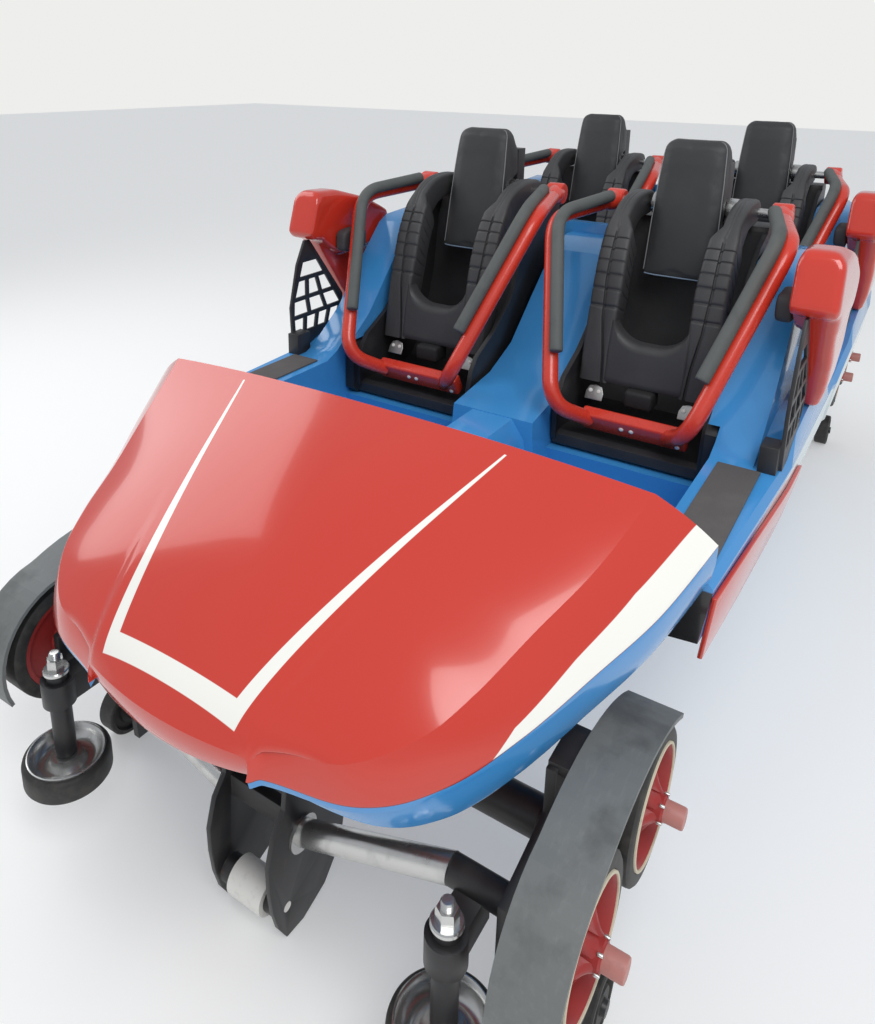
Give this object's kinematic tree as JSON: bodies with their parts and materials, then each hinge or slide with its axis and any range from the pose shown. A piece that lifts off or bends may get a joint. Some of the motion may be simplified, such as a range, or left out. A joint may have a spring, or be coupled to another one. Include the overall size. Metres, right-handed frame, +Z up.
{
  "type": "roller coaster car",
  "caption": "Leading car of a roller coaster train with a sloping moulded nose, rows of bucket seats, hinged over-shoulder restraints, side guards and running, guide and up-stop wheels.",
  "frame": {"origin": "middle of the car in plan, level with the bottom of the lowest wheels, which are the up-stop wheels", "axes": "+X forward to the nose, +Y to the left of the car, +Z up"},
  "size_m": [4.4879, 1.884, 1.778],
  "materials": {
    "red_gloss": "gloss",
    "blue_gloss": "gloss",
    "white_plastic": "satin",
    "black_paint": "satin",
    "red_paint": "gloss",
    "fender_grey": "matte",
    "step_grey": "matte",
    "seat_black": "matte",
    "pad_grey": "matte",
    "foam_grey": "matte",
    "steel": "brushed",
    "wheel": "matte",
    "guide": "brushed"
  },
  "bodies": {
    "car": {"chassis_frame": "black_paint", "axle_beams": "black_paint", "tie_tubes": "steel", "wheel_carriers": "black_paint", "guide_posts": "black_paint", "fenders": "fender_grey", "coupler_plates": "black_paint", "coupler_roller": "white_plastic", "coupler_rear": "steel", "nose_hood": "red_gloss", "nose_lip": "blue_gloss", "tub_front": "blue_gloss", "tub_rear": "blue_gloss", "side_skirts": "red_gloss", "step_pads": "step_grey", "seat_shells": "seat_black", "headrests": "seat_black", "hinge_shafts": "steel", "side_pods": "red_gloss", "pod_pads": "pad_grey", "lattice_guards": "seat_black"},
    "running_wheel_1": {"running_wheel_1": "wheel"},
    "running_wheel_2": {"running_wheel_2": "wheel"},
    "running_wheel_3": {"running_wheel_3": "wheel"},
    "running_wheel_4": {"running_wheel_4": "wheel"},
    "running_wheel_5": {"running_wheel_5": "wheel"},
    "running_wheel_6": {"running_wheel_6": "wheel"},
    "running_wheel_7": {"running_wheel_7": "wheel"},
    "running_wheel_8": {"running_wheel_8": "wheel"},
    "guide_wheel_1": {"guide_wheel_1": "guide"},
    "guide_wheel_2": {"guide_wheel_2": "guide"},
    "guide_wheel_3": {"guide_wheel_3": "guide"},
    "guide_wheel_4": {"guide_wheel_4": "guide"},
    "upstop_wheel_1": {"upstop_wheel_1": "wheel"},
    "upstop_wheel_2": {"upstop_wheel_2": "wheel"},
    "upstop_wheel_3": {"upstop_wheel_3": "wheel"},
    "upstop_wheel_4": {"upstop_wheel_4": "wheel"},
    "restraint_1": {"restraint_frame_1": "red_paint", "restraint_vest_1": "seat_black", "restraint_grips_1": "foam_grey"},
    "restraint_2": {"restraint_frame_2": "red_paint", "restraint_vest_2": "seat_black", "restraint_grips_2": "foam_grey"},
    "restraint_3": {"restraint_frame_3": "red_paint", "restraint_vest_3": "seat_black", "restraint_grips_3": "foam_grey"},
    "restraint_4": {"restraint_frame_4": "red_paint", "restraint_vest_4": "seat_black", "restraint_grips_4": "foam_grey"}
  },
  "joints": [
    {"name": "running_wheel_1_spin", "type": "hinge", "parent": "car", "child": "running_wheel_1", "pos_m": [1.951, 0.76, 0.47], "axis": [0, 1, 0], "continuous": true},
    {"name": "running_wheel_2_spin", "type": "hinge", "parent": "car", "child": "running_wheel_2", "pos_m": [1.581, 0.76, 0.47], "axis": [0, 1, 0], "continuous": true},
    {"name": "running_wheel_3_spin", "type": "hinge", "parent": "car", "child": "running_wheel_3", "pos_m": [1.951, -0.76, 0.47], "axis": [0, 1, 0], "continuous": true},
    {"name": "running_wheel_4_spin", "type": "hinge", "parent": "car", "child": "running_wheel_4", "pos_m": [1.581, -0.76, 0.47], "axis": [0, 1, 0], "continuous": true},
    {"name": "running_wheel_5_spin", "type": "hinge", "parent": "car", "child": "running_wheel_5", "pos_m": [-1.589, 0.76, 0.47], "axis": [0, 1, 0], "continuous": true},
    {"name": "running_wheel_6_spin", "type": "hinge", "parent": "car", "child": "running_wheel_6", "pos_m": [-1.959, 0.76, 0.47], "axis": [0, 1, 0], "continuous": true},
    {"name": "running_wheel_7_spin", "type": "hinge", "parent": "car", "child": "running_wheel_7", "pos_m": [-1.589, -0.76, 0.47], "axis": [0, 1, 0], "continuous": true},
    {"name": "running_wheel_8_spin", "type": "hinge", "parent": "car", "child": "running_wheel_8", "pos_m": [-1.959, -0.76, 0.47], "axis": [0, 1, 0], "continuous": true},
    {"name": "guide_wheel_1_spin", "type": "hinge", "parent": "car", "child": "guide_wheel_1", "pos_m": [2.086, 0.579, 0.23], "axis": [0, 0, 1], "continuous": true},
    {"name": "guide_wheel_2_spin", "type": "hinge", "parent": "car", "child": "guide_wheel_2", "pos_m": [2.086, -0.579, 0.23], "axis": [0, 0, 1], "continuous": true},
    {"name": "guide_wheel_3_spin", "type": "hinge", "parent": "car", "child": "guide_wheel_3", "pos_m": [-1.454, 0.579, 0.23], "axis": [0, 0, 1], "continuous": true},
    {"name": "guide_wheel_4_spin", "type": "hinge", "parent": "car", "child": "guide_wheel_4", "pos_m": [-1.454, -0.579, 0.23], "axis": [0, 0, 1], "continuous": true},
    {"name": "upstop_wheel_1_spin", "type": "hinge", "parent": "car", "child": "upstop_wheel_1", "pos_m": [1.766, 0.76, 0.08], "axis": [0, 1, 0], "continuous": true},
    {"name": "upstop_wheel_2_spin", "type": "hinge", "parent": "car", "child": "upstop_wheel_2", "pos_m": [1.766, -0.76, 0.08], "axis": [0, 1, 0], "continuous": true},
    {"name": "upstop_wheel_3_spin", "type": "hinge", "parent": "car", "child": "upstop_wheel_3", "pos_m": [-1.774, 0.76, 0.08], "axis": [0, 1, 0], "continuous": true},
    {"name": "upstop_wheel_4_spin", "type": "hinge", "parent": "car", "child": "upstop_wheel_4", "pos_m": [-1.774, -0.76, 0.08], "axis": [0, 1, 0], "continuous": true},
    {"name": "restraint_1_swing", "type": "hinge", "parent": "car", "child": "restraint_1", "pos_m": [0.136, 0.4, 1.55], "axis": [0, -1, 0], "range_deg": [0, 62]},
    {"name": "restraint_2_swing", "type": "hinge", "parent": "car", "child": "restraint_2", "pos_m": [0.136, -0.4, 1.55], "axis": [0, -1, 0], "range_deg": [0, 62]},
    {"name": "restraint_3_swing", "type": "hinge", "parent": "car", "child": "restraint_3", "pos_m": [-1.137, 0.4, 1.55], "axis": [0, -1, 0], "range_deg": [0, 62]},
    {"name": "restraint_4_swing", "type": "hinge", "parent": "car", "child": "restraint_4", "pos_m": [-1.137, -0.4, 1.55], "axis": [0, -1, 0], "range_deg": [0, 62]}
  ]
}
